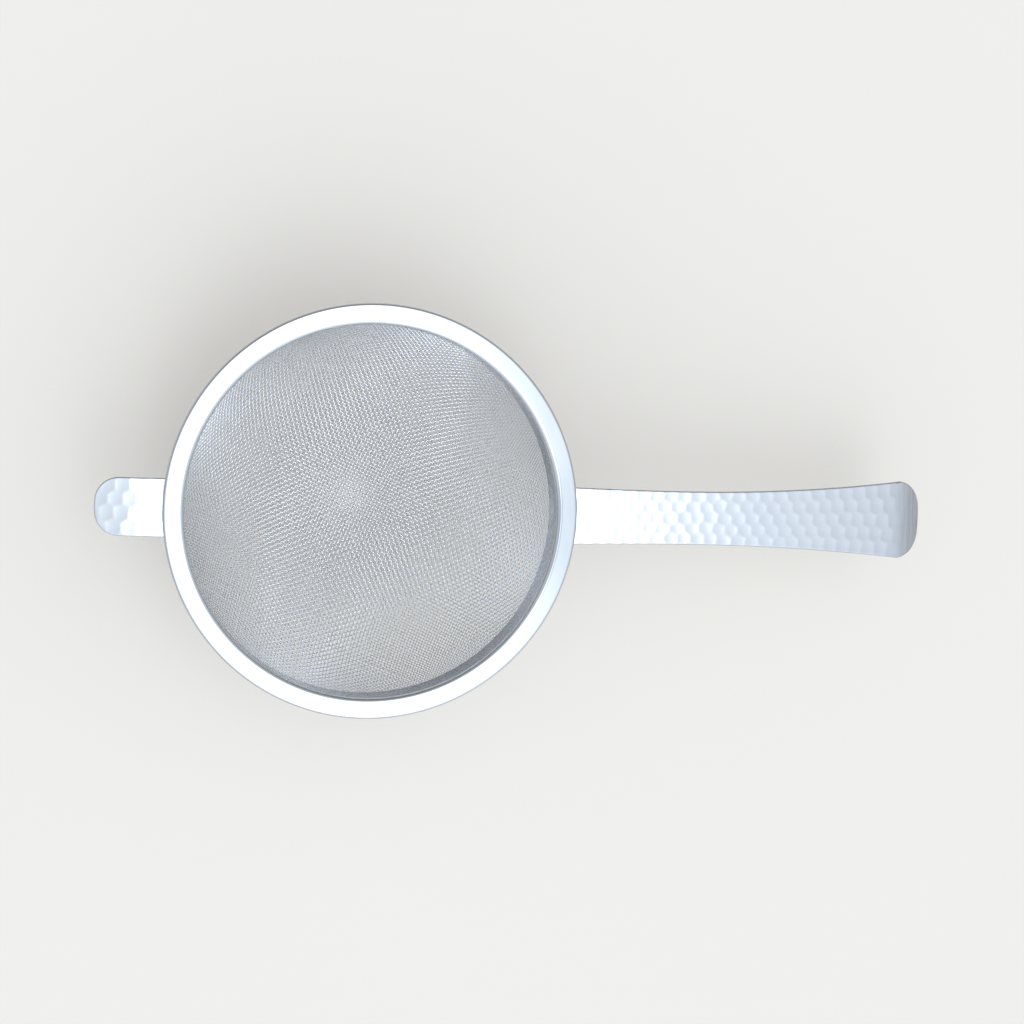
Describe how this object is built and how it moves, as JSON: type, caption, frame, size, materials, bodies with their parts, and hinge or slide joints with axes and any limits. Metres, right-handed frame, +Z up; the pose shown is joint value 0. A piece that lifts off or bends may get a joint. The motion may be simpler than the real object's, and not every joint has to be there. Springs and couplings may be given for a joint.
{
  "type": "tea strainer",
  "caption": "Round woven-wire tea strainer bowl in a pressed flanged rim, with an arched hammered strip handle and a hammered rest tab that sit on a cup.",
  "frame": {"origin": "on the axis of the rim, level with the undersides of the handle and tab roots, where they sit on a cup", "axes": "+Z up along the rim's axis, out of the mouth; +X along the handle"},
  "size_m": [0.1525, 0.0738, 0.035],
  "materials": {
    "satin_rim_steel": "satin stainless, pressed and tumbled",
    "woven_steel_wire": "drawn bright stainless wire",
    "satin_band_steel": "satin stainless strip",
    "hammered_steel": "hammered satin stainless",
    "weld_steel": "heat-dulled stainless at the spot welds"
  },
  "bodies": {
    "root": {"rim_ring": "satin_rim_steel", "mesh_bowl": "woven_steel_wire", "clamp_band": "satin_band_steel", "handle": "hammered_steel", "rest_tab": "hammered_steel", "handle_spot_welds": "weld_steel", "tab_spot_welds": "weld_steel"}
  },
  "joints": []
}
